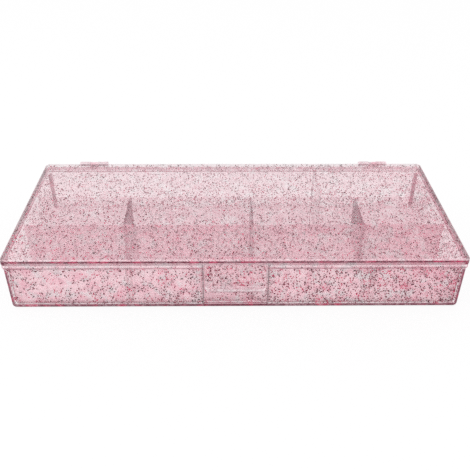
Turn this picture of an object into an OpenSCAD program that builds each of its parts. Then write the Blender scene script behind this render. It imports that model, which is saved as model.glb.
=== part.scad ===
// Flat hinged display case in clear glitter plastic: a moulded tray in three rows with
// push-in dividers, and a lid that turns on two pinned hinges and closes with a front tongue.
// Origin: centre of the tray's underside. X runs along the case, -Y is the front, Z is up.

/* [Case] */
// Width of the closed case, measured on the lid
case_w = 300; // [240:1:400]
// Depth of the closed case, measured on the lid without the hinges
case_d = 135; // [110:1:220]
// Height of the closed case, from the table to the top of the lid
case_h = 40; // [36:1:70]
// Corner radius of the lid seen from above
corner_r = 3; // [2.5:0.5:8]

/* [Lid] */
// Thickness of the lid's top panel
lid_t = 1.8; // [1.2:0.1:2.2]
// Height of the lid's skirt, from its lower edge to the top of the lid
skirt_h = 4.1; // [3.8:0.1:5]
// Thickness of the lid's skirt
skirt_t = 1.6; // [1:0.1:1.8]
// Radius of the lid's upper edge
lid_edge_r = 0.7; // [0.3:0.1:1.2]

/* [Tray] */
// Thickness of the tray's floor
floor_t = 2; // [1.2:0.1:3]
// Thickness of the tray's walls
wall_t = 2.3; // [2:0.1:3]
// Height of the rim band that the lid sits on
rim_h = 2.8; // [2:0.1:5]
// How far the rim band stays inside the lid's outline
rim_inset = 0.2; // [0:0.05:0.4]
// How far the top of the wall stays inside the lid's outline
wall_inset = 0.9; // [0.7:0.05:1.2]
// How far each wall leans inward from the rim down to the floor
wall_lean = 0.7; // [0:0.1:2]
// Radius of the outer lower edge
foot_r = 3; // [1:0.5:4]
// Radius between the floor and the walls inside
floor_r = 1.5; // [0.5:0.25:3]

/* [Fit of the lid] */
// Gap between the lid's skirt and the tray's raised lip
lip_gap = 0.35; // [0.3:0.05:0.5]
// Gap between the top of the lip and the underside of the lid
head_gap = 0.3; // [0.1:0.05:0.6]
// Gap between the skirt's lower edge and the rim band
rest_gap = 0.1; // [0.05:0.05:0.2]

/* [Rows] */
// Distance of each long wall from the middle of the case
row_wall_y = 19.4; // [12:0.1:30]
// Thickness of the long walls
row_wall_t = 1.6; // [1:0.1:2.5]
// Depth of the long walls' top edge below the top of the lid
row_wall_drop = 4; // [3:0.1:10]

/* [Dividers] */
// Thickness of a divider
divider_t = 1.5; // [1:0.1:2.5]
// Place along the case of the left divider in the front row
front_left_x = -69.4; // [-110:0.1:-40]
// Place along the case of the centre divider in the front row
front_centre_x = 10.6; // [-12:0.1:12]
// Place along the case of the right divider in the front row
front_right_x = 89.8; // [40:0.1:110]
// Place along the case of the left divider in the middle row
middle_left_x = -77.3; // [-110:0.1:-40]
// Place along the case of the centre divider in the middle row
middle_centre_x = 12.3; // [-25:0.1:25]
// Place along the case of the right divider in the middle row
middle_right_x = 90; // [40:0.1:110]
// Place along the case of the divider in the rear row
rear_x = 64.4; // [-110:0.1:110]
// Play of a divider between its guide ribs and against the walls
slot_play = 0.1; // [0.05:0.01:0.3]
// Width of a guide rib
rib_w = 1.2; // [0.8:0.1:2]
// How far a guide rib stands out of the wall at the floor
rib_d = 0.9; // [0.5:0.1:2]

/* [Front catch] */
// Width of the recess in the front wall
recess_w = 41.7; // [30:0.1:60]
// Depth of the recess behind the lid's front face
recess_depth = 4.2; // [4:0.1:6]
// Gap between the tongue and each side of the recess
tongue_side_gap = 1; // [0.5:0.1:4]
// Length of the tongue below the top of the lid
tongue_h = 24.8; // [20:0.1:28]
// Thickness of the tongue
tongue_t = 1.6; // [1:0.1:1.8]
// Radius of the tongue's lower corners
tongue_r = 4; // [1:0.5:8]
// How far the finger lip stands out of the tongue
finger_lip_out = 1.2; // [0.6:0.1:2.5]
// Height of the finger lip
finger_lip_h = 2.2; // [1:0.1:4]
// Height of the catch line above the table
catch_z = 21.5; // [19:0.1:24]
// Width of the catch ridges
catch_w = 26; // [10:1:28]
// Radius of the catch ridge on the tongue
tongue_ridge_r = 1; // [0.5:0.1:1.1]
// Radius of the catch ridge on the tray
tray_ridge_r = 1.2; // [0.5:0.1:1.2]

/* [Hinges] */
// Distance of each hinge from the nearer side of the lid
hinge_in = 37.5; // [35:0.5:60]
// Distance of the hinge axis behind the lid's back edge
axis_back = 3.8; // [3.6:0.1:5]
// Depth of the hinge axis below the top of the lid
axis_drop = 2.8; // [2.6:0.1:3.2]
// Radius of the lid's hinge knuckles
lid_knuckle_r = 2.5; // [2:0.1:2.6]
// Radius of the tray's hinge knuckles
tray_knuckle_r = 2.1; // [1.7:0.1:2.4]
// Width of each of the lid's hinge knuckles
lid_knuckle_w = 8; // [4:0.1:12]
// Width of the tray's hinge knuckle
tray_knuckle_w = 5.8; // [3:0.1:12]
// Gap between neighbouring knuckles
knuckle_gap = 0.2; // [0.1:0.05:0.5]
// Radius of the hinge pin
pin_r = 0.8; // [0.5:0.05:1]
// Running clearance of the pin in the lid's knuckles
pin_play = 0.05; // [0.02:0.01:0.1]
// How far each end of the pin stays inside its knuckle
pin_end_inset = 0.3; // [0:0.1:1]
// Angle at which the lid stands when its heels meet the tray
lid_stop_angle = 112; // [95:1:125]
// Reach of the stop heel from the hinge axis
heel_reach = 5; // [4.8:0.1:5.2]
// Angle that the stop heel's tip spans round the hinge axis
heel_span = 24; // [15:1:40]
// Width of the stop heel on each of the lid's knuckles
heel_w = 4; // [2:0.1:4]

/* [Hidden] */

$fn = 32;
eps = 0.01;
knuckle_steps = 48;
edge_step = 22.5;
least_corner_r = 1;
cut_over = 1;

half_d = case_d / 2;
lid_under_z = case_h - lid_t;
skirt_z = case_h - skirt_h;
rim_top_z = skirt_z - rest_gap;
rim_z = rim_top_z - rim_h;
lip_top_z = lid_under_z - head_gap;
lip_inset = skirt_t + lip_gap;
row_top_z = case_h - row_wall_drop;

recess_back_y = recess_depth - half_d;
tongue_w = recess_w - 2 * tongue_side_gap;
tongue_inner_y = tongue_t - half_d;

hinge_x = case_w / 2 - hinge_in;
axis_y = half_d + axis_back;
axis_z = case_h - axis_drop;
hinge_w = tray_knuckle_w + 2 * (knuckle_gap + lid_knuckle_w);
rim_reach = axis_back + rim_inset;
barrel_root_share = 0.85;
hinge_overlap = 0.2;
web_drop = 0.35;
web_slope = 0.7;
web_top_root_a = 160;
web_under_root_a = -63;

front_divider_x = [front_left_x, front_centre_x, front_right_x];
middle_divider_x = [middle_left_x, middle_centre_x, middle_right_x];
rear_divider_x = [rear_x];

clear_plastic = [0.95, 0.72, 0.79, 0.55];
clear_divider = [0.86, 0.66, 0.72, 0.7];
steel = [0.72, 0.72, 0.74];

// Distance of the wall's outer face inside the lid's outline, at height z
function wall_inset_at(z) = wall_inset + wall_lean * (rim_z - z) / rim_z;

// Distance of the wall's inner face inside the lid's outline, at height z
function cavity_inset_at(z) = wall_inset_at(z) + wall_t;

// Place of the front wall's inner face, at height z
function front_face_y(z) = cavity_inset_at(z) - half_d;

// Point inside a hinge barrel, where a web, an arm or a heel grows out of it at angle a
function barrel_root(r, a) = barrel_root_share * r * [cos(a), sin(a)];

// Rounded rectangle, as far inside the lid's outline as inset says
module outline(inset) {
  w = case_w - 2 * inset;
  d = case_d - 2 * inset;
  r = max(corner_r - inset / 2, least_corner_r);
  square([w - 2 * r, d], center = true);
  square([w, d - 2 * r], center = true);
  for (sx = [-1, 1], sy = [-1, 1])
    translate([sx * (w / 2 - r), sy * (d / 2 - r)])
      circle(r);
}

module slab(inset, z, h) {
  translate([0, 0, z])
    linear_extrude(h)
      outline(inset);
}

// Leaning shell body from z0 to z1 with a rounded lower edge; extra is the wall thickness
// left outside it
module leaning_body(extra, edge_r, z0, z1) {
  hull() {
    for (a = [0 : edge_step : 90]) {
      z = z0 + edge_r * (1 - cos(a));
      slab(wall_inset_at(z) + extra + edge_r * (1 - sin(a)), z, eps);
    }
    slab(wall_inset_at(z1) + extra, z1 - eps, eps);
  }
}

// Profile in the YZ plane, extruded to a width along X round the plane X = 0
module across(width) {
  rotate([90, 0, 90])
    linear_extrude(width, center = true)
      children();
}

// Tray

module tray_mass() {
  leaning_body(0, foot_r, 0, rim_z + rim_h / 2);
  slab(rim_inset, rim_z, rim_h);
  slab(lip_inset, rim_top_z - rim_h / 2, lip_top_z - rim_top_z + rim_h / 2);
}

module row_walls() {
  for (s = [-1, 1])
    translate([-case_w / 2, s * row_wall_y - row_wall_t / 2, 0])
      cube([case_w, row_wall_t, row_top_z]);
}

// Wall round the back and the sides of the front recess
module recess_wall() {
  w = recess_w + 2 * wall_t;
  translate([-w / 2, -half_d, 0])
    cube([w, recess_depth + wall_t, case_h]);
}

// Two ribs that hold one edge of a divider, from y0 to y1
module rib_pair(x, y0, y1) {
  for (s = [-1, 1])
    translate([x + s * (divider_t / 2 + slot_play + rib_w / 2) - rib_w / 2, y0, 0])
      cube([rib_w, y1 - y0, row_top_z]);
}

module guide_ribs() {
  wall_face = front_face_y(floor_t);
  row_face = row_wall_y + row_wall_t / 2;
  for (x = front_divider_x) {
    rib_pair(x, -half_d, front_start_y(x, floor_t) + rib_d);
    rib_pair(x, -row_face - rib_d, -row_wall_y);
  }
  for (x = middle_divider_x) {
    rib_pair(x, -row_wall_y, -row_wall_y + row_wall_t / 2 + rib_d);
    rib_pair(x, row_wall_y - row_wall_t / 2 - rib_d, row_wall_y);
  }
  for (x = rear_divider_x) {
    rib_pair(x, row_wall_y, row_face + rib_d);
    rib_pair(x, -wall_face - rib_d, half_d);
  }
}

module recess_cut() {
  translate([-recess_w / 2, -half_d - cut_over, floor_t])
    cube([recess_w, recess_depth + cut_over, case_h]);
}

module tray_ridge() {
  translate([0, recess_back_y, catch_z + tray_ridge_r])
    rotate([0, 90, 0])
      cylinder(r = tray_ridge_r, h = catch_w, center = true);
}

// Knuckle with its web to the rim band's back face
module tray_knuckle_profile() {
  web_back = -rim_reach - wall_t / 4;
  web_top = rim_top_z - axis_z - web_drop;
  circle(tray_knuckle_r, $fn = knuckle_steps);
  polygon([
    [web_back, rim_z + hinge_overlap - axis_z],
    [web_back, web_top],
    [-rim_reach + web_slope, web_top],
    barrel_root(tray_knuckle_r, web_top_root_a),
    [0, 0],
    barrel_root(tray_knuckle_r, web_under_root_a)
  ]);
}

module pin_bore(radius) {
  rotate([0, 90, 0])
    cylinder(r = radius, h = hinge_w + 2 * cut_over, center = true, $fn = knuckle_steps);
}

module tray() {
  color(clear_plastic)
    difference() {
      union() {
        difference() {
          tray_mass();
          difference() {
            leaning_body(wall_t, floor_r, floor_t, lip_top_z + cut_over);
            row_walls();
            recess_wall();
            guide_ribs();
          }
          recess_cut();
        }
        tray_ridge();
        for (s = [-1, 1])
          translate([s * hinge_x, axis_y, axis_z])
            across(tray_knuckle_w)
              tray_knuckle_profile();
      }
      for (s = [-1, 1])
        translate([s * hinge_x, axis_y, axis_z])
          pin_bore(pin_r);
    }
}

// Lid

// Top panel and skirt with a rounded upper edge
module lid_body() {
  hull() {
    slab(0, skirt_z, eps);
    for (a = [0 : edge_step : 90])
      slab(lid_edge_r * (1 - cos(a)), case_h - lid_edge_r * (1 - sin(a)) - eps, eps);
  }
}

module lid_hollow() {
  slab(skirt_t, skirt_z - cut_over, lid_under_z - skirt_z + cut_over);
}

// Outline of the tongue in the XZ plane, its upper edge at height 0
module tongue_outline(h) {
  translate([-tongue_w / 2 + tongue_r, -h])
    square([tongue_w - 2 * tongue_r, h]);
  translate([-tongue_w / 2, -h + tongue_r])
    square([tongue_w, h - tongue_r]);
  for (s = [-1, 1])
    translate([s * (tongue_w / 2 - tongue_r), -h + tongue_r])
      circle(tongue_r);
}

module upright(y, thickness) {
  translate([0, y + thickness, case_h - lid_edge_r])
    rotate([90, 0, 0])
      linear_extrude(thickness)
        children();
}

// Tongue with a finger lip that follows its rounded lower edge, and the catch ridge behind
module tongue() {
  h = tongue_h - lid_edge_r;
  upright(-half_d, tongue_t)
    tongue_outline(h);
  upright(-half_d - finger_lip_out, finger_lip_out + tongue_t / 2)
    difference() {
      tongue_outline(h);
      translate([0, finger_lip_h])
        tongue_outline(h);
      translate([-tongue_w / 2, tongue_r - h])
        square([tongue_w, h]);
    }
  translate([0, tongue_inner_y, catch_z - tongue_ridge_r])
    rotate([0, 90, 0])
      cylinder(r = tongue_ridge_r, h = catch_w, center = true);
}

// Knuckle with its arm to the lid's back edge
module lid_knuckle_profile() {
  arm_root = -axis_back - skirt_t / 2;
  circle(lid_knuckle_r, $fn = knuckle_steps);
  polygon([
    [arm_root, axis_drop - lid_edge_r],
    [arm_root, axis_drop - skirt_h + hinge_overlap],
    barrel_root(lid_knuckle_r, -90),
    barrel_root(lid_knuckle_r, 90)
  ]);
}

// Heel that meets the rim band's back face once the lid has turned by lid_stop_angle
module heel_profile() {
  contact = acos(rim_reach / heel_reach);
  front_a = 180 + contact + lid_stop_angle;
  tip_a = front_a + heel_span;
  root_a = front_a + 2 * heel_span;
  polygon([
    [0, 0],
    heel_reach * [cos(front_a), sin(front_a)],
    heel_reach * [cos(tip_a), sin(tip_a)],
    barrel_root(lid_knuckle_r, root_a)
  ]);
}

module lid() {
  side = (tray_knuckle_w + lid_knuckle_w) / 2 + knuckle_gap;
  color(clear_plastic)
    difference() {
      union() {
        difference() {
          lid_body();
          lid_hollow();
        }
        tongue();
        for (hinge = [-1, 1], s = [-1, 1])
          translate([hinge * hinge_x + s * side, axis_y, axis_z]) {
            across(lid_knuckle_w)
              lid_knuckle_profile();
            across(heel_w)
              heel_profile();
          }
      }
      for (s = [-1, 1])
        translate([s * hinge_x, axis_y, axis_z])
          pin_bore(pin_r + pin_play);
    }
}

// Hinge pins

module hinge_pin(s) {
  color(steel)
    translate([s * hinge_x, axis_y, axis_z])
      rotate([0, 90, 0])
        cylinder(r = pin_r, h = hinge_w - 2 * pin_end_inset, center = true, $fn = knuckle_steps);
}

// Dividers

// True where a divider at x stands behind the front recess instead of at the front wall
function behind_recess(x) = abs(x) < recess_w / 2 + wall_t;

// Start of a front divider, at height z
function front_start_y(x, z) = behind_recess(x) ? recess_back_y + wall_t : front_face_y(z);

// Plate in the YZ plane; y0 and y2 are its front and back at the floor, y1 and y3 at the top
module divider_plate(x, y0, y1, y2, y3) {
  color(clear_divider)
    translate([x, 0, 0])
      across(divider_t)
        polygon([
          [y0 + floor_r, floor_t],
          [y2 - floor_r, floor_t],
          [y2, floor_t + floor_r],
          [y3, row_top_z],
          [y1, row_top_z],
          [y0, floor_t + floor_r]
        ]);
}

module front_divider(x) {
  back = -row_wall_y - row_wall_t / 2 - slot_play;
  divider_plate(
    x, front_start_y(x, floor_t) + slot_play, front_start_y(x, row_top_z) + slot_play, back, back);
}

module middle_divider(x) {
  reach = row_wall_y - row_wall_t / 2 - slot_play;
  divider_plate(x, -reach, -reach, reach, reach);
}

module back_divider(x) {
  front = row_wall_y + row_wall_t / 2 + slot_play;
  divider_plate(
    x, front, front, -front_face_y(floor_t) - slot_play, -front_face_y(row_top_z) - slot_play);
}

tray();
lid();
hinge_pin(-1);  // left_hinge_pin
hinge_pin(1);  // right_hinge_pin
front_divider(front_left_x);  // front_divider_left
front_divider(front_centre_x);  // front_divider_centre
front_divider(front_right_x);  // front_divider_right
middle_divider(middle_left_x);  // middle_divider_left
middle_divider(middle_centre_x);  // middle_divider_centre
middle_divider(middle_right_x);  // middle_divider_right
back_divider(rear_x);  // rear_divider
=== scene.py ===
"""Looks of a flat hinged specimen case in clear plastic with foil glitter."""

import math

import bpy
from bpy.props import FloatProperty, FloatVectorProperty, IntProperty, PointerProperty
from mathutils import Matrix, Vector


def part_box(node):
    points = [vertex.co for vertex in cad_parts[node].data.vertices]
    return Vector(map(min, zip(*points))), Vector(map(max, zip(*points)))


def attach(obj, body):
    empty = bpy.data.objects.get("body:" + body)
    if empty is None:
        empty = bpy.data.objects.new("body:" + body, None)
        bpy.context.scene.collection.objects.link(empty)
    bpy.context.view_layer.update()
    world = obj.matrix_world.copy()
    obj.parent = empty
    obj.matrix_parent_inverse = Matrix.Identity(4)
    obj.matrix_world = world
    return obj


bl_info = {
    "name": "Glitter Specimen Case",
    "version": (1, 0, 0),
    "blender": (4, 5, 0),
    "location": "3D View > Sidebar > Specimen Case",
    "description": "Dresses a hinged compartment case in clear plastic with foil glitter",
    "category": "Object",
}

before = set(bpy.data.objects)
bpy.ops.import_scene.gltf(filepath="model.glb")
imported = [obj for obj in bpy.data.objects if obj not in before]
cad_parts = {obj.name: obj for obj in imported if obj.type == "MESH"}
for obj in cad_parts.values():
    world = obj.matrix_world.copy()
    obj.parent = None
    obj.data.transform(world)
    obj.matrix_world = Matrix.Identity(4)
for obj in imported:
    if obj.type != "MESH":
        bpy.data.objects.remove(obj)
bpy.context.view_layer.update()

MM = 0.001
PER_CM2 = 1e4

# Half the width and depth of the lid's outline, and how far inside it the tray's rim stays
RIM_INSET = 0.2 * MM
HALF_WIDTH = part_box("lid")[1].x
HALF_DEPTH = RIM_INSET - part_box("tray")[0].y

# Heights at which the tray's rim band and the lid's skirt start
RIM_Z = 33 * MM
SKIRT_Z = 36 * MM
# What lies higher than this is the lid's top
LID_TOP_Z = 39.2 * MM
# How far a wall leans inward for each metre down from the rim
WALL_LEAN = 0.7 * MM / RIM_Z

# How far inside the outline the outer faces and the whole outer walls reach
SKIN_REACH = 1.9 * MM
WALL_REACH = 4.1 * MM
# What lies beyond these is the front wall, the tongue or a hinge knuckle
FRONT_WALL_Y = -60 * MM
TONGUE_Y = -65 * MM
HINGE_Y = HALF_DEPTH + 0.2 * MM
# The edges along the front and the back fade in between these distances from the middle
EDGE_STARTS = (65 * MM, 66 * MM)

# The recess in the front wall: half its width, where its back lies, and how high its richer
# lower part reaches
RECESS_HALF_WIDTH = 21 * MM
RECESS_BACK_Y = (-65 * MM, -62 * MM)
RECESS_LOW_Z = 15 * MM
# Where the rear face of the front long wall lies
VEIL_Y = (-19 * MM, -17 * MM)

FRONT_DIVIDERS = ("front_divider_left", "front_divider_centre", "front_divider_right")
MIDDLE_DIVIDERS = ("middle_divider_left", "middle_divider_centre", "middle_divider_right")
REAR_DIVIDERS = ("rear_divider",)
HINGE_PINS = ("left_hinge_pin", "right_hinge_pin")


def colour(name, description, default):
    """A colour that the sidebar shows, given as sRGB from 0 to 255."""
    linear = [((c / 255 + 0.055) / 1.055) ** 2.4 if c > 10 else c / 255 / 12.92 for c in default]
    return FloatVectorProperty(
        name=name, description=description, default=linear, subtype="COLOR", size=3, min=0, max=1
    )


def share(name, description, default):
    """A factor from 0 to 1."""
    return FloatProperty(
        name=name, description=description, default=default, subtype="FACTOR", min=0, max=1
    )


def length(name, description, default):
    """A length in metres."""
    return FloatProperty(
        name=name, description=description, default=default, subtype="DISTANCE", unit="LENGTH",
        precision=5,
    )


def amount(name, description, default, **more):
    """A number from 0 up."""
    return FloatProperty(name=name, description=description, default=default, min=0, **more)


def angle(name, description, degrees):
    """An angle."""
    return FloatProperty(
        name=name, description=description, default=math.radians(degrees), subtype="ANGLE"
    )


class PlasticLook(bpy.types.PropertyGroup):
    """Clear plastic of the tray, the lid and the dividers."""

    pale: colour("Pale plastic", "Plastic where little dye has gathered", (254, 216, 224))
    deep: colour("Deep plastic", "Plastic where more dye has gathered", (243, 178, 194))
    faint: colour("Faint plastic", "Plastic that holds hardly any dye", (244, 216, 223))
    # The inner colour is painted shade: a darker, greyer copy of the plastic for the floor and
    # inner faces, standing in for the dimmer light inside the case.
    inner: colour("Inner plastic", "Plastic of the floor and the inner faces", (214, 157, 171))
    clear: colour("Clear plastic", "Plastic that the dye has left almost clear", (234, 214, 219))
    edge: colour("Edge", "Dyed plastic seen along a thin edge", (112, 46, 66))
    clear_edge: colour("Clear edge", "Clear plastic seen along a thin edge", (108, 84, 90))
    # Painted highlight colour for edges that are painted as catching the light.
    painted_highlight_colour: colour("Bright edge", "Edge that catches the light", (255, 240, 244))
    skin_haze: share("Skin haze", "How much an outer face hides of the flakes under it", 0.06)
    lid_haze: share("Lid haze", "How much an inner face of the lid hides", 0.16)
    front_haze: share("Front haze", "How much the inner face of the tray's front wall hides", 0.7)
    wall_haze: share("Wall haze", "How much an inner face of its other outer walls hides", 0.22)
    tongue_haze: share("Tongue haze", "How much the rear face of the tongue hides", 0.55)
    corner_haze: share("Corner haze", "How much an outer face hides that ends solid plastic", 0.5)
    foot_haze: share("Foot haze", "How much the underside hides along the front foot", 0.72)
    # The rear haze paints the paler reflection at the back of the lid by letting it show more of
    # its pale body.
    rear_reflection_haze: share("Rear haze", "How much more the lid hides at its back", 0.1)
    hinge_haze: share("Hinge haze", "How much more the hinge knuckles hide", 0.35)
    floor_haze: share("Floor haze", "How much a face of the tray's floor hides", 0.22)
    partition_haze: share("Partition haze", "How much a face of the long walls hides", 0.14)
    veil_haze: share("Veil", "How much the rear face of the front long wall hides", 0.62)
    edge_haze: share("Edge haze", "How much the thin edges hide", 0.95)
    gloss_roughness: share("Roughness", "Roughness of the moulded faces", 0.16)
    cloud_size: length("Cloud size", "Width of the clouds in the plastic", 9 * MM)
    bare_size: length("Bare spot size", "Width of spots that dye and flakes leave clear", 7 * MM)
    ripple_size: length("Ripple size", "Width of the shallow waves from moulding", 9 * MM)
    divider_pale: colour("Pale divider", "Divider plastic, lighter parts", (98, 68, 77))
    divider_deep: colour("Deep divider", "Divider plastic, darker parts", (74, 48, 58))
    divider_edge: colour("Divider edge", "Thin edge of a divider", (128, 84, 98))
    side_haze: share("Side haze", "How much a front or rear divider hides", 0.1)
    middle_haze: share("Middle haze", "How much a middle divider hides", 1.0)


class GlitterLook(bpy.types.PropertyGroup):
    """Foil flakes that are moulded into the plastic."""

    # The foil colours paint each flake's light: dark is painted shade for a flake taken as facing
    # away from the light, bright is a painted highlight for one taken as facing it, and which a
    # flake gets is random; crimson swarms also use the bright colour.
    dark: colour("Dark foil", "Foil that faces away from the light", (74, 20, 38))
    middle: colour("Foil", "Foil as most flakes show it", (126, 18, 50))
    bright: colour("Bright foil", "Foil that faces the light", (206, 32, 92))
    flake_size: length("Flake size", "Width of a whole flake from corner to corner", 1.3 * MM)
    flake_thickness: length("Flake thickness", "Thickness of the foil", 0.06 * MM)
    flakes_per_cm2: amount("Flakes per cm2", "Usual number of flakes under a square cm", 23.0)
    lid_share: amount("Lid share", "Share of that number under the lid's faces", 1.05)
    wall_share: amount("Wall share", "Share of that number under the tray's outer faces", 1.42)
    inner_share: share("Inner share", "Share of that number under the tray's inner faces", 0.22)
    swarm_size: length("Swarm size", "Width of the swarms that the flakes gather in", 7 * MM)
    least_depth: length("Least depth", "Nearest that a flake comes to a face", 0.6 * MM)
    most_depth: length("Most depth", "Furthest that a flake lies under its face", 1.0 * MM)
    tilt: angle("Tilt", "Most that a flake leans out of its sheet", 22)
    seed: IntProperty(name="Seed", description="Another seed scatters the flakes anew", default=7)


class PinLook(bpy.types.PropertyGroup):
    """Steel wire of the hinge pins."""

    steel: colour("Steel", "Drawn wire", (186, 186, 190))
    stain: colour("Stain", "Duller patches of the wire", (142, 140, 142))
    roughness: share("Roughness", "Roughness of the drawn wire", 0.3)
    draw_mark: length("Draw marks", "Spacing of the marks along the wire", 0.12 * MM)


class StageLook(bpy.types.PropertyGroup):
    """Camera, lamps and floor."""

    camera_place: FloatVectorProperty(
        name="Camera", description="Place of the camera", default=(-0.006, -0.4126, 0.2824),
        subtype="TRANSLATION", unit="LENGTH", precision=4,
    )
    camera_yaw: angle("Yaw", "How far the camera turns right", 0.884)
    camera_pitch: angle("Pitch", "How far the camera looks down", 32.91)
    camera_roll: angle("Roll", "Tilt of the camera", 0.338)
    lens: FloatProperty(name="Lens", description="Focal length in mm", default=50.92, min=10)
    floor_size: length("Floor", "Side of the square floor", 12.0)
    floor_colour: colour("Floor", "Pale floor", (240, 240, 240))
    floor_glow: share("Floor glow", "Share of plain white in the floor that is seen", 0.9)
    room_light: amount("Room light", "Strength of the light from all round", 1.0)
    key_power: amount("Key lamp", "Power of the large lamp", 3.0, unit="POWER")
    fill_power: amount("Fill lamp", "Power of the small lamp", 1.0, unit="POWER")


class Signal:
    """A value in a node tree. Arithmetic on it adds Math nodes."""

    def __init__(self, graph, socket):
        self.graph = graph
        self.socket = socket

    def maths(self, operation, *values):
        return self.graph.node(
            "ShaderNodeMath", {"operation": operation}, dict(enumerate(values))
        )

    def __add__(self, other):
        return self.maths("ADD", self, other)

    def __radd__(self, other):
        return self.maths("ADD", other, self)

    def __sub__(self, other):
        return self.maths("SUBTRACT", self, other)

    def __rsub__(self, other):
        return self.maths("SUBTRACT", other, self)

    def __mul__(self, other):
        return self.maths("MULTIPLY", self, other)

    def __rmul__(self, other):
        return self.maths("MULTIPLY", other, self)

    def __neg__(self):
        return self.maths("MULTIPLY", self, -1)

    def __abs__(self):
        return self.maths("ABSOLUTE", self)

    def above(self, limit):
        return self.maths("GREATER_THAN", self, limit)

    def below(self, limit):
        return self.maths("LESS_THAN", self, limit)

    def at_most(self, other):
        return self.maths("MINIMUM", self, other)

    def at_least(self, other):
        return self.maths("MAXIMUM", self, other)

    def rise(self, low, high):
        """0 up to low and 1 from high, with a smooth step between them."""
        return self.graph.node(
            "ShaderNodeMapRange",
            {"interpolation_type": "SMOOTHSTEP"},
            {"Value": self, "From Min": low, "From Max": high},
        )

    def fall(self, low, high):
        """1 up to low and 0 from high, with a smooth step between them."""
        return 1 - self.rise(low, high)

    def within(self, low, high, soft):
        """1 between low and high, fading over soft on both sides."""
        return self.rise(low - soft, low) * self.fall(high, high + soft)


class Graph:
    """A node tree that is written as Python expressions."""

    def __init__(self, tree):
        self.tree = tree

    def node(self, kind, settings=None, sockets=None, output=None):
        """Adds a node, sets its settings and then its sockets, and gives one output."""
        made = self.tree.nodes.new(kind)
        for name, value in (settings or {}).items():
            setattr(made, name, value)
        for key, value in (sockets or {}).items():
            socket = self.pick(made.inputs, key)
            if isinstance(value, Signal):
                self.tree.links.new(value.socket, socket)
            else:
                socket.default_value = value
        return Signal(self, self.pick(made.outputs, output or 0)) if made.outputs else None

    @staticmethod
    def pick(sockets, key):
        """A socket by name or number, among those that the node's settings leave open."""
        if isinstance(key, int):
            return sockets[key]
        return next(s for s in sockets if s.name == key and not s.is_unavailable)

    def outputs(self, signal, name):
        """Another output of the node that gave signal."""
        return Signal(self, self.pick(signal.socket.node.outputs, name))

    def noise(self, size, detail=2.0, stretch=(1, 1, 1), offset=0.0):
        """Noise with features of about the given size, in metres."""
        place = self.node(
            "ShaderNodeVectorMath",
            {"operation": "MULTIPLY_ADD"},
            {0: self.place, 1: Vector(stretch) / size, 2: (offset, offset, offset)},
        )
        return self.node(
            "ShaderNodeTexNoise", sockets={"Vector": place, "Scale": 1.0, "Detail": detail}
        )

    def bare_spots(self, size):
        """1 in the spots that the dye and the flakes have left clear."""
        return self.noise(size, detail=2.0, offset=3.0).rise(0.54, 0.64)

    def swarms(self, size):
        """1 in the swarms where the foil is crimson."""
        return self.noise(size, detail=2.0).rise(0.5, 0.66)

    def axes(self, vector):
        """The three numbers of a vector."""
        split = self.node("ShaderNodeSeparateXYZ", sockets={"Vector": vector}, output="X")
        return [self.outputs(split, axis) for axis in "XYZ"]


class Finish(Graph):
    """A material whose pattern lies on Object coordinates."""

    def __init__(self, name):
        self.material = bpy.data.materials.new(name)
        self.material.use_nodes = True
        super().__init__(self.material.node_tree)
        self.tree.nodes.clear()
        self.place = self.node("ShaderNodeTexCoord", output="Object")
        self.x, self.y, self.z = self.axes(self.place)
        normal = self.node("ShaderNodeNewGeometry", output="Normal")
        self.facing_x, _, self.facing_z = self.axes(normal)

    def specks(self, spacing, radius, left):
        """Dots of a radius, one in each cell of a spacing, of which a share is left."""
        cell = self.node(
            "ShaderNodeTexVoronoi",
            sockets={"Vector": self.place, "Scale": 1 / spacing},
            output="Distance",
        )
        pick = self.node(
            "ShaderNodeSeparateColor", sockets={"Color": self.outputs(cell, "Color")}, output="Red"
        )
        dot = cell.fall(0.75 * radius / spacing, radius / spacing)
        return dot * pick.below(left)

    def mix(self, factor, first, second):
        """A colour between two colours."""
        return self.node(
            "ShaderNodeMix",
            {"data_type": "RGBA"},
            {"Factor": factor, "A": paint(first), "B": paint(second)},
            "Result",
        )

    def finish(self, **sockets):
        """Ends in a Principled surface with these sockets, and gives the material."""
        named = {key.replace("_", " "): value for key, value in sockets.items()}
        surface = self.node("ShaderNodeBsdfPrincipled", sockets=named)
        self.node("ShaderNodeOutputMaterial", sockets={"Surface": surface})
        return self.material


class Scatter(Graph):
    """A geometry tree that scatters flakes; its signals are those of the faces they lie under."""

    def __init__(self, name):
        tree = bpy.data.node_groups.new(name, "GeometryNodeTree")
        tree.interface.new_socket("Geometry", in_out="OUTPUT", socket_type="NodeSocketGeometry")
        super().__init__(tree)
        self.place = self.node("GeometryNodeInputPosition")
        self.x, self.y, self.z = self.axes(self.place)
        normal = self.node("GeometryNodeInputNormal")
        self.facing_x, _, self.facing_z = self.axes(normal)

    def random(self, low, high, seed):
        """A number, or three numbers, of each point's own between low and high."""
        kind = "FLOAT_VECTOR" if isinstance(low, tuple) else "FLOAT"
        return self.node(
            "FunctionNodeRandomValue",
            {"data_type": kind},
            {"Min": low, "Max": high, "Seed": seed},
            "Value",
        )


def paint(value):
    """A colour with its fourth number, or a signal as it is."""
    return value if isinstance(value, Signal) else (*value, 1.0)


def between(mask, first, second):
    """The first number where mask is 0, and the second where it is 1."""
    return first + mask * (second - first)


def dress(node_name, material):
    """Gives a CAD node one material, in place of its own."""
    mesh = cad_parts[node_name].data
    mesh.materials.clear()
    mesh.materials.append(material)


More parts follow.
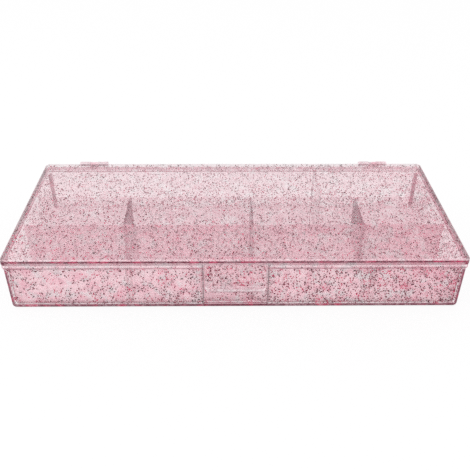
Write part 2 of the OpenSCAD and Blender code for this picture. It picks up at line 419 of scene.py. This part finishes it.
def clear_plastic(name, look, haze, lines):
    """Clear dyed plastic.

    haze gives how much a face hides, how rich its dye is, with painted shade at the right end
    and painted light at the back, and whether it is an inner face, which gets painted shade from
    the inner colour; lines gives the masks of dark, grey and bright edges: plastic seen along its
    thickness, painted shadows and painted highlights.
    """
    made = Finish(name)
    hidden, richness, inner = haze(made, look)
    cloud = made.noise(look.cloud_size, detail=3.0).rise(0.35, 0.65)
    # dye follows richness, so it carries painted shade at the right end and painted light at the
    # back.
    dye = (richness + cloud * 0.5).rise(0.0, 1.0)
    bare = made.bare_spots(look.bare_size) * (1 - richness.rise(0.6, 1.0))
    dust = made.specks(spacing=1.4 * MM, radius=0.3 * MM, left=0.3)
    uneven = made.noise(2.5 * MM, detail=2.0).rise(0.25, 0.6)
    glitter = bpy.context.scene.case_glitter
    swarm = made.swarms(glitter.swarm_size)
    # dark marks plastic seen along its thickness and a painted shadow under the rim; grey marks
    # edges seen along the plastic and a painted shadow under the tongue; bright marks painted
    # highlights.
    dark, grey, bright = lines(made)
    dark = dark * (0.8 + uneven * 0.2)
    bright = bright * (0.6 + uneven * 0.4)
    body = made.mix(dye, look.pale, look.deep)
    # Where richness drops below 0, mostly at the back of the lid and on the rear face of the front
    # long wall, the faint colour shows; at the back of the lid it is painted light for the paler
    # reflection there.
    body = made.mix((-richness).rise(0.0, 0.5), body, look.faint)
    # Painted shade: inner faces take the darker inner colour.
    body = made.mix(inner * 0.7, body, look.inner)
    body = made.mix(bare, body, look.clear)
    # Painted highlights along the bright edges.
    body = made.mix(bright, body, look.painted_highlight_colour)
    body = made.mix(grey, body, look.clear_edge)
    body = made.mix(dark, body, made.mix(swarm * 0.6, look.edge, glitter.bright))
    body = made.mix(dust * 0.8, body, glitter.dark)
    sheen = made.node("ShaderNodeFresnel", sockets={"IOR": 1.45})
    alpha = hidden * (0.9 + cloud * 0.2) + sheen * 0.15 + dust * 0.15
    alpha = alpha + dark.at_least(grey).at_least(bright * 0.8) * look.edge_haze
    ripple = made.noise(look.ripple_size, detail=1.0)
    bump = made.node(
        "ShaderNodeBump", sockets={"Height": ripple, "Strength": 0.12, "Distance": 0.4 * MM}
    )
    return made.finish(
        Base_Color=body,
        Alpha=alpha.at_most(1.0),
        Roughness=look.gloss_roughness + made.noise(3 * MM) * 0.08 + dark * 0.6,
        Normal=bump,
        IOR=1.5,
        Coat_Weight=0.35 - dark * 0.35,
        Coat_Roughness=0.05,
    )


def inside_outline(graph):
    """Distance inside the lid's outline seen from above."""
    return (HALF_WIDTH - abs(graph.x)).at_most(HALF_DEPTH - abs(graph.y))


def in_recess(graph):
    """1 on the walls of the recess in the front wall and on the tongue in it."""
    return abs(graph.x).below(RECESS_HALF_WIDTH) * graph.y.below(FRONT_WALL_Y)


def on_hinge(graph):
    """1 on the hinge knuckles, which stand out behind the outline."""
    return graph.y.above(HINGE_Y)


def towards_back(graph):
    """From 0 at the middle to 1 at the back."""
    return graph.y.rise(-10 * MM, 66 * MM)


def painted_right_shade_back_light(graph):
    """Painted shade and light carried in the dye and the flake crowd: more at the right end as
    painted shade on the side away from the lamps, less at the back as painted light for the paler
    reflection there.
    """
    return graph.x.rise(80 * MM, 145 * MM) * 0.35 - towards_back(graph) * 0.35


def outer_skin(graph):
    """1 on the upright outline and at the back of the recess, which are seen from outside."""
    at_back = in_recess(graph) * graph.y.within(*RECESS_BACK_Y, 0.1 * MM)
    upright = abs(graph.facing_z).below(0.5)
    return inside_outline(graph).below(SKIN_REACH).at_least(at_back) * upright


def solid_end(graph):
    """1 on outer faces that end solid plastic: the front corners' sides and the recess's foot."""
    corner_side = abs(graph.x).above(HALF_WIDTH - 3 * MM) * graph.y.below(9 * MM - HALF_DEPTH)
    recess_foot = in_recess(graph) * graph.z.below(5 * MM)
    return corner_side.at_least(recess_foot)


def foot_sole(graph):
    """1 on the underside along the front foot, and half of that under the recess."""
    sole = graph.z.below(0.05 * MM) * graph.y.below(9.5 * MM - HALF_DEPTH)
    return sole * (1 - abs(graph.x).below(RECESS_HALF_WIDTH) * 0.5)


def lid_haze(made, look):
    """The lid's outer faces hide little of the flakes, and its inner faces hide more."""
    outer = inside_outline(made).below(0.5 * MM).at_least(made.z.above(LID_TOP_Z))
    tongue_back = made.y.below(TONGUE_Y) * (1 - outer) * made.z.below(SKIRT_Z)
    hidden = between(outer, look.lid_haze, look.skin_haze)
    # More haze towards the back paints the paler reflection there.
    hidden = hidden + towards_back(made) * look.rear_reflection_haze + on_hinge(made) * look.hinge_haze
    hidden = hidden.at_least(tongue_back * look.tongue_haze)
    richness = painted_right_shade_back_light(made) * 1.8 + 0.2 - tongue_back * 0.3
    # inner is how much painted shade a face gets: the lid's underside, less near its front.
    inner = (1 - outer) * (1 - tongue_back) * between(made.y.rise(-30 * MM, -10 * MM), 0.3, 1)
    return hidden, richness, inner


def tray_haze(made, look):
    """The tray's outer faces do the same, and its front wall and front long wall hide the most."""
    skin = outer_skin(made)
    level = abs(made.facing_z).above(0.5)
    in_wall = inside_outline(made).below(WALL_REACH)
    in_front = made.y.below(FRONT_WALL_Y)
    recess = in_recess(made)
    recess_side = abs(made.x).below(RECESS_HALF_WIDTH + 4 * MM) * abs(made.facing_x).above(0.5)
    veil = made.y.within(*VEIL_Y, 0.1 * MM)
    hinge = on_hinge(made)
    front_haze = in_front * look.front_haze * (1 - recess * 0.15) * (1 - recess_side * 0.7)
    inside_haze = between(in_wall, look.partition_haze, look.wall_haze)
    inside_haze = inside_haze.at_least(front_haze).at_least(veil * look.veil_haze)
    outside_haze = between(solid_end(made), look.skin_haze, look.corner_haze)
    upright_haze = between(skin, inside_haze, outside_haze)
    level_haze = between(foot_sole(made), look.floor_haze, look.foot_haze)
    hidden = between(level, upright_haze, level_haze) + hinge * look.hinge_haze
    richness = in_wall * 0.2 + level * 0.2 - veil * 0.3 + painted_right_shade_back_light(made) * (1 - hinge * 0.5)
    richness = richness + recess * between(made.z.below(RECESS_LOW_Z), 0.3, 0.5)
    # inner is the painted shade mask: the floor, the partitions and the inner faces of the side
    # and back walls.
    inner = (1 - skin) * (1 - veil) * (1 - in_front) * (1 - hinge)
    return hidden, richness, inner


def lid_lines(made):
    """Masks of the lid's dark, grey and bright edges: its outline and its skirt's layers seen
    along the plastic, a painted shadow under the tongue and painted highlights along the front.
    """
    inset = inside_outline(made)
    on_lid = inset.above(-0.3 * MM)
    on_outline = inset.fall(0.25 * MM, 0.4 * MM) * on_lid
    at_front = (-made.y).rise(*EDGE_STARTS)
    on_tongue = abs(made.x).fall(19.5 * MM, 20 * MM)
    under_line = made.z.within(38.0 * MM, 38.9 * MM, 0.3 * MM)
    corner = abs(made.x).rise(HALF_WIDTH - 4.6 * MM, HALF_WIDTH - 2.6 * MM) * at_front
    corner = corner * made.z.fall(38.9 * MM, 39.3 * MM) * made.z.rise(35.9 * MM, 36.6 * MM)
    dark = (on_outline * under_line * at_front).at_least(corner)
    side = inset.fall(0.3 * MM, 0.8 * MM) * on_lid * (1 - at_front)
    side = side * (1 - made.y.rise(*EDGE_STARTS) * 0.7)
    skirt_band = on_outline * at_front * made.z.within(SKIRT_Z, 38.0 * MM, 0.3 * MM)
    # Painted shadow along the lower edge of the tongue.
    lip_shade = (-made.y).rise(65 * MM, 65.5 * MM) * on_tongue * made.z.fall(15.7 * MM, 15.9 * MM)
    grey = (side * 0.6).at_least(skirt_band * 0.5).at_least(lip_shade * 0.6)
    # Painted highlights: the front top edge, the tongue's front ledge and end, and the foot of the
    # skirt.
    edge_painted_highlight = inset.fall(0.8 * MM, 1.1 * MM) * at_front * made.z.rise(39 * MM, 39.4 * MM)
    lip = (-made.y).rise(67.6 * MM, 67.8 * MM) * made.z.above(15.9 * MM)
    tongue_end = on_outline * on_tongue * made.z.within(17.4 * MM, 19.4 * MM, 0.4 * MM)
    skirt_foot = on_outline * made.z.within(35.7 * MM, SKIRT_Z, 0.1 * MM) * (1 - on_tongue)
    bright = (edge_painted_highlight * 0.5).at_least(lip * 0.85)
    bright = bright.at_least(tongue_end * 0.5).at_least(skirt_foot * 0.4)
    return dark, grey, bright


def tray_lines(made):
    """Masks of the tray's dark, grey and bright edges: foot, corners, recess and rim, with a
    painted shadow under the rim and a painted highlight along its top.
    """
    inset = inside_outline(made)
    over_sole = made.z.above(0.02 * MM)
    at_end = abs(made.y).rise(HALF_DEPTH - 3.6 * MM, HALF_DEPTH - 3.1 * MM)
    foot = made.z.fall(3.2 * MM, 4.6 * MM) * over_sole * at_end
    foot = foot * (1 - made.y.above(0.0) * 0.85)
    recess_foot = made.z.fall(2.6 * MM, 3.4 * MM) * over_sole * in_recess(made)
    lean = (RIM_Z - made.z) * WALL_LEAN
    corner = (abs(made.x) + lean).rise(HALF_WIDTH - 4.2 * MM, HALF_WIDTH - 2.6 * MM) * at_end
    corner = corner * made.z.fall(31 * MM, 32.5 * MM)
    rim = inset.fall(0.5 * MM, 0.8 * MM) * inset.above(-0.3 * MM)
    # Painted shadow along the rim's lower edge and painted highlight along its top.
    rim_painted_shadow = rim * made.z.within(RIM_Z, 33.8 * MM, 0.3 * MM) * 0.7
    rim_painted_highlight = rim * made.z.within(34.6 * MM, 35.9 * MM, 0.3 * MM)
    notch = abs(made.x).within(20.6 * MM, 21.6 * MM, 0.1 * MM) * (-made.y).above(65.6 * MM)
    notch = notch * made.z.within(2 * MM, SKIRT_Z, 0.4 * MM)
    dark = foot.at_least(corner).at_least(rim_painted_shadow).at_least(recess_foot * 0.5)
    return dark * 0.95, notch * 0.85, rim_painted_highlight * 0.6


def divider_plastic(name, look, haze):
    """Smoky clear plastic of the push-in dividers, which hides more where seen at a slant."""
    made = Finish(name)
    cloud = made.noise(look.cloud_size, detail=3.0).rise(0.3, 0.7)
    thin = 1 - abs(made.facing_x).rise(0.4, 0.8)
    dust = made.specks(spacing=1.2 * MM, radius=0.3 * MM, left=0.25)
    body = made.mix(cloud, look.divider_pale, look.divider_deep)
    body = made.mix(thin, body, look.divider_edge)
    body = made.mix(dust * 0.7, body, bpy.context.scene.case_glitter.middle)
    slant = made.node("ShaderNodeLayerWeight", sockets={"Blend": 0.5}, output="Facing")
    clearness = 0.15 + slant.rise(0.4, 0.9) * 0.85
    alpha = haze * clearness * (0.85 + cloud * 0.3) + thin * 0.2 + dust * 0.25
    return made.finish(
        Base_Color=body,
        Alpha=alpha.at_most(1.0),
        Roughness=0.2 + made.noise(4 * MM) * 0.1,
        IOR=1.5,
    )


def foil(name, look):
    """Dyed foil. Some swarms are crimson, and each flake gets a random painted shade or highlight
    of its own, which stands in for how it catches the light.
    """
    made = Finish(name)
    glint = made.node("ShaderNodeAttribute", {"attribute_name": "glint"}, output="Fac")
    crimson = made.swarms(look.swarm_size) * (0.5 + (-made.y).rise(0.0, 67 * MM) * 0.6)
    body = made.mix(glint.rise(0.1, 0.7), look.dark, look.middle)
    body = made.mix((crimson * 0.6 + glint * 0.7).rise(0.5, 0.95), body, look.bright)
    return made.finish(
        Base_Color=body, Metallic=0.2, Roughness=0.4 + made.noise(0.3 * MM) * 0.1
    )


def drawn_wire(name, look):
    """Drawn steel wire with fine marks along it."""
    made = Finish(name)
    marks = made.noise(look.draw_mark, detail=1.0, stretch=(0.02, 1, 1))
    stain = made.noise(1.5 * MM, detail=3.0).rise(0.45, 0.7)
    bump = made.node(
        "ShaderNodeBump", sockets={"Height": marks, "Strength": 0.25, "Distance": 0.02 * MM}
    )
    return made.finish(
        Base_Color=made.mix(stain, look.steel, look.stain),
        Metallic=1.0,
        Roughness=look.roughness + marks * 0.15,
        Normal=bump,
    )


def deselect_all():
    """Leaves edit mode and selects nothing."""
    if bpy.context.object and bpy.context.object.mode != "OBJECT":
        bpy.ops.object.mode_set(mode="OBJECT")
    bpy.ops.object.select_all(action="DESELECT")


def lid_faces(graph):
    """The lid's upright outer faces and its top."""
    return outer_skin(graph).at_least(graph.facing_z.above(0.5))


def floor_faces(graph):
    """All faces of the tray that look up."""
    return graph.facing_z.above(0.5)


def partition_faces(graph):
    """Upright faces inside the tray, without the inner faces of its outer walls."""
    inner = inside_outline(graph).above(WALL_REACH) * abs(graph.facing_z).below(0.5)
    return inner * (1 - outer_skin(graph))


def scatter_graph(name, shell, flake, material, looks, faces, crowding):
    """Node tree that scatters flakes under the faces of shell that the function faces picks."""
    look = looks.case_glitter
    graph = Scatter(name)
    mesh = graph.node("GeometryNodeObjectInfo", sockets={"Object": shell}, output="Geometry")
    crowd = graph.noise(look.swarm_size).rise(0.3, 0.7) + 0.5
    behind_tongue = in_recess(graph) * graph.y.above(TONGUE_Y)
    thinned = behind_tongue * (0.45 + graph.z.above(RECESS_LOW_Z) * 0.4)
    # More flakes at the right end and fewer at the back: painted shade and light.
    crowd = (crowd + painted_right_shade_back_light(graph)) * (1 - thinned)
    crowd = crowd * (1 - graph.bare_spots(looks.case_plastic.bare_size) * 0.9)
    points = graph.node(
        "GeometryNodeDistributePointsOnFaces",
        {"distribute_method": "RANDOM"},
        {"Mesh": mesh, "Selection": faces(graph).above(0.5),
         "Density": crowd * crowding * look.flakes_per_cm2 * PER_CM2, "Seed": look.seed},
        "Points",
    )
    inward = graph.node(
        "ShaderNodeVectorMath",
        {"operation": "SCALE"},
        {0: graph.outputs(points, "Normal"),
         "Scale": graph.random(-look.most_depth, -look.least_depth, look.seed + 1)},
    )
    inside = graph.node("GeometryNodeSetPosition", sockets={"Geometry": points, "Offset": inward})
    nearest = graph.node(
        "GeometryNodeProximity", {"target_element": "FACES"}, {0: mesh}, "Distance"
    )
    inside = graph.node(
        "GeometryNodeDeleteGeometry",
        {"domain": "POINT"},
        {"Geometry": inside, "Selection": nearest.below(0.95 * look.least_depth)},
    )
    lean = graph.random(
        (-look.tilt, -look.tilt, 0.0), (look.tilt, look.tilt, math.tau), look.seed + 2
    )
    turn = graph.node(
        "FunctionNodeRotateRotation",
        {"rotation_space": "LOCAL"},
        {"Rotation": graph.outputs(points, "Rotation"),
         "Rotate By": graph.node("FunctionNodeEulerToRotation", sockets={"Euler": lean})},
    )
    scale = graph.random((0.7, 0.7, 1.0), (1.0, 1.0, 1.0), look.seed + 3)
    chip = graph.node("GeometryNodeObjectInfo", sockets={"Object": flake}, output="Geometry")
    flakes = graph.node(
        "GeometryNodeInstanceOnPoints",
        sockets={"Points": inside, "Instance": chip, "Rotation": turn, "Scale": scale},
    )
    # Each flake gets a random value that the foil turns into painted shade or painted highlight.
    flakes = graph.node(
        "GeometryNodeStoreNamedAttribute",
        {"data_type": "FLOAT", "domain": "INSTANCE"},
        {"Geometry": flakes, "Name": "glint", "Value": graph.random(0.0, 1.0, look.seed + 4)},
    )
    flakes = graph.node("GeometryNodeRealizeInstances", sockets={"Geometry": flakes})
    flakes = graph.node(
        "GeometryNodeSetMaterial", sockets={"Geometry": flakes, "Material": material}
    )
    graph.node("NodeGroupOutput", sockets={"Geometry": flakes})
    return graph.tree


def flake_chip(look):
    """One flake: six-sided foil that thins out towards its rim."""
    deselect_all()
    bpy.ops.mesh.primitive_uv_sphere_add(segments=6, ring_count=2, radius=look.flake_size / 2)
    chip = bpy.context.object
    chip.name = "flake_chip"
    bpy.ops.object.mode_set(mode="EDIT")
    bpy.ops.transform.resize(value=(1, 1, look.flake_thickness / look.flake_size))
    bpy.ops.mesh.normals_make_consistent(inside=False)
    bpy.ops.object.mode_set(mode="OBJECT")
    return chip


def add_glitter(name, body, chip, material, faces, crowding):
    """Adds a piece with all the flakes that lie under some faces of the tray or the lid."""
    deselect_all()
    bpy.ops.mesh.primitive_plane_add(size=MM)
    piece = bpy.context.object
    piece.name = piece.data.name = name
    scatter = piece.modifiers.new("scatter", "NODES")
    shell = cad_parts[body]
    looks = bpy.context.scene
    scatter.node_group = scatter_graph(name, shell, chip, material, looks, faces, crowding)
    bpy.ops.object.modifier_apply(modifier=scatter.name)
    if not piece.data.polygons:
        raise RuntimeError(f"{name} came out without a flake")
    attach(piece, body)


class CASE_OT_dress_shells(bpy.types.Operator):
    """Give the tray and the lid their clear plastic"""

    bl_idname = "case.dress_shells"
    bl_label = "Tray and Lid Plastic"

    def execute(self, context):
        look = context.scene.case_plastic
        dress("tray", clear_plastic("tray_plastic", look, tray_haze, tray_lines))
        dress("lid", clear_plastic("lid_plastic", look, lid_haze, lid_lines))
        return {"FINISHED"}


class CASE_OT_dress_dividers(bpy.types.Operator):
    """Give the push-in dividers their smoky plastic"""

    bl_idname = "case.dress_dividers"
    bl_label = "Divider Plastic"

    def execute(self, context):
        look = context.scene.case_plastic
        side = divider_plastic("side_divider_plastic", look, look.side_haze)
        middle = divider_plastic("middle_divider_plastic", look, look.middle_haze)
        for name in FRONT_DIVIDERS + REAR_DIVIDERS:
            dress(name, side)
        for name in MIDDLE_DIVIDERS:
            dress(name, middle)
        return {"FINISHED"}


class CASE_OT_dress_pins(bpy.types.Operator):
    """Give the hinge pins their drawn steel"""

    bl_idname = "case.dress_pins"
    bl_label = "Hinge Pin Steel"

    def execute(self, context):
        steel = drawn_wire("pin_steel", context.scene.case_pins)
        for name in HINGE_PINS:
            dress(name, steel)
        return {"FINISHED"}


class CASE_OT_scatter_glitter(bpy.types.Operator):
    """Scatter foil flakes inside the walls of the tray and the lid"""

    bl_idname = "case.scatter_glitter"
    bl_label = "Foil Glitter"

    def execute(self, context):
        look = context.scene.case_glitter
        chip = flake_chip(look)
        material = foil("glitter_foil", look)
        few = look.inner_share
        add_glitter("lid_glitter", "lid", chip, material, lid_faces, look.lid_share)
        add_glitter("tray_wall_glitter", "tray", chip, material, outer_skin, look.wall_share)
        add_glitter("tray_floor_glitter", "tray", chip, material, floor_faces, few)
        add_glitter("tray_partition_glitter", "tray", chip, material, partition_faces, few)
        bpy.data.objects.remove(chip)
        return {"FINISHED"}


class CASE_OT_add_stage(bpy.types.Operator):
    """Add the floor, the lamps and the camera"""

    bl_idname = "case.add_stage"
    bl_label = "Stage"

    def execute(self, context):
        look = context.scene.case_stage
        add_floor(look)
        add_lamp("key_lamp", place=(-0.5, -0.25, 1.1), size=0.9, power=look.key_power)
        add_lamp("fill_lamp", place=(0.9, -0.5, 0.9), size=0.7, power=look.fill_power)
        add_camera(look)
        light_room(look)
        context.scene.view_settings.view_transform = "Standard"
        context.scene.cycles.transparent_max_bounces = 32
        context.scene.cycles.use_denoising = False
        return {"FINISHED"}


def seen_directly(graph):
    """1 for the rays that show the background itself: from the camera, gloss and glass."""
    path = graph.node("ShaderNodeLightPath", output="Is Camera Ray")
    return path.at_least(graph.outputs(path, "Is Glossy Ray")).at_least(
        graph.outputs(path, "Is Transmission Ray")
    )


def add_floor(look):
    """A pale floor that shows as near white and keeps the case's shadow."""
    deselect_all()
    bpy.ops.mesh.primitive_plane_add(size=look.floor_size)
    floor = bpy.context.object
    floor.name = "floor"
    material = bpy.data.materials.new("pale_floor")
    material.use_nodes = True
    material.node_tree.nodes.clear()
    graph = Graph(material.node_tree)
    lit = graph.node("ShaderNodeBsdfDiffuse", sockets={"Color": paint(look.floor_colour)})
    white = graph.node("ShaderNodeEmission", sockets={"Strength": 1.0})
    share_white = seen_directly(graph) * look.floor_glow
    surface = graph.node("ShaderNodeMixShader", sockets={0: share_white, 1: lit, 2: white})
    graph.node("ShaderNodeOutputMaterial", sockets={"Surface": surface})
    floor.data.materials.append(material)


def add_lamp(name, place, size, power):
    """A square soft lamp that points at the middle of the case."""
    deselect_all()
    towards = Vector((0, 0, 0)) - Vector(place)
    bpy.ops.object.light_add(
        type="AREA", location=place, rotation=towards.to_track_quat("-Z", "Y").to_euler()
    )
    lamp = bpy.context.object
    lamp.name = name
    lamp.data.size = size
    lamp.data.energy = power


def add_camera(look):
    """The camera at the photograph's viewing angle."""
    deselect_all()
    turn = (
        Matrix.Rotation(-look.camera_yaw, 3, "Z")
        @ Matrix.Rotation(math.pi / 2 - look.camera_pitch, 3, "X")
        @ Matrix.Rotation(look.camera_roll, 3, "Z")
    )
    bpy.ops.object.camera_add(location=look.camera_place, rotation=turn.to_euler())
    camera = bpy.context.object
    camera.name = "photo_camera"
    camera.data.lens = look.lens
    camera.data.sensor_width = 36
    camera.data.clip_start = 0.01
    bpy.context.scene.camera = camera


def light_room(look):
    """Even white light from all round."""
    world = bpy.data.worlds.new("white_room")
    bpy.context.scene.world = world
    world.use_nodes = True
    world.node_tree.nodes.clear()
    graph = Graph(world.node_tree)
    seen = seen_directly(graph)
    strength = between(seen, look.room_light, 1)
    light = graph.node(
        "ShaderNodeBackground", sockets={"Color": (1, 1, 1, 1), "Strength": strength}
    )
    graph.node("ShaderNodeOutputWorld", sockets={"Surface": light})


class VIEW3D_PT_specimen_case(bpy.types.Panel):
    """Lists the steps that dress the case"""

    bl_label = "Specimen Case"
    bl_space_type = "VIEW_3D"
    bl_region_type = "UI"
    bl_category = "Specimen Case"

    def draw(self, context):
        for step in STEPS:
            self.layout.operator(step.bl_idname)


STEPS = (
    CASE_OT_dress_shells,
    CASE_OT_dress_dividers,
    CASE_OT_dress_pins,
    CASE_OT_scatter_glitter,
    CASE_OT_add_stage,
)
LOOKS = {
    "case_plastic": PlasticLook,
    "case_glitter": GlitterLook,
    "case_pins": PinLook,
    "case_stage": StageLook,
}
CLASSES = (*LOOKS.values(), *STEPS, VIEW3D_PT_specimen_case)


def register():
    for item in CLASSES:
        bpy.utils.register_class(item)
    for name, group in LOOKS.items():
        setattr(bpy.types.Scene, name, PointerProperty(type=group))


def unregister():
    for name in LOOKS:
        delattr(bpy.types.Scene, name)
    for item in reversed(CLASSES):
        bpy.utils.unregister_class(item)


def main():
    register()
    bpy.ops.case.dress_shells()
    bpy.ops.case.dress_dividers()
    bpy.ops.case.dress_pins()
    bpy.ops.case.scatter_glitter()
    bpy.ops.case.add_stage()


if __name__ == "__main__":
    main()
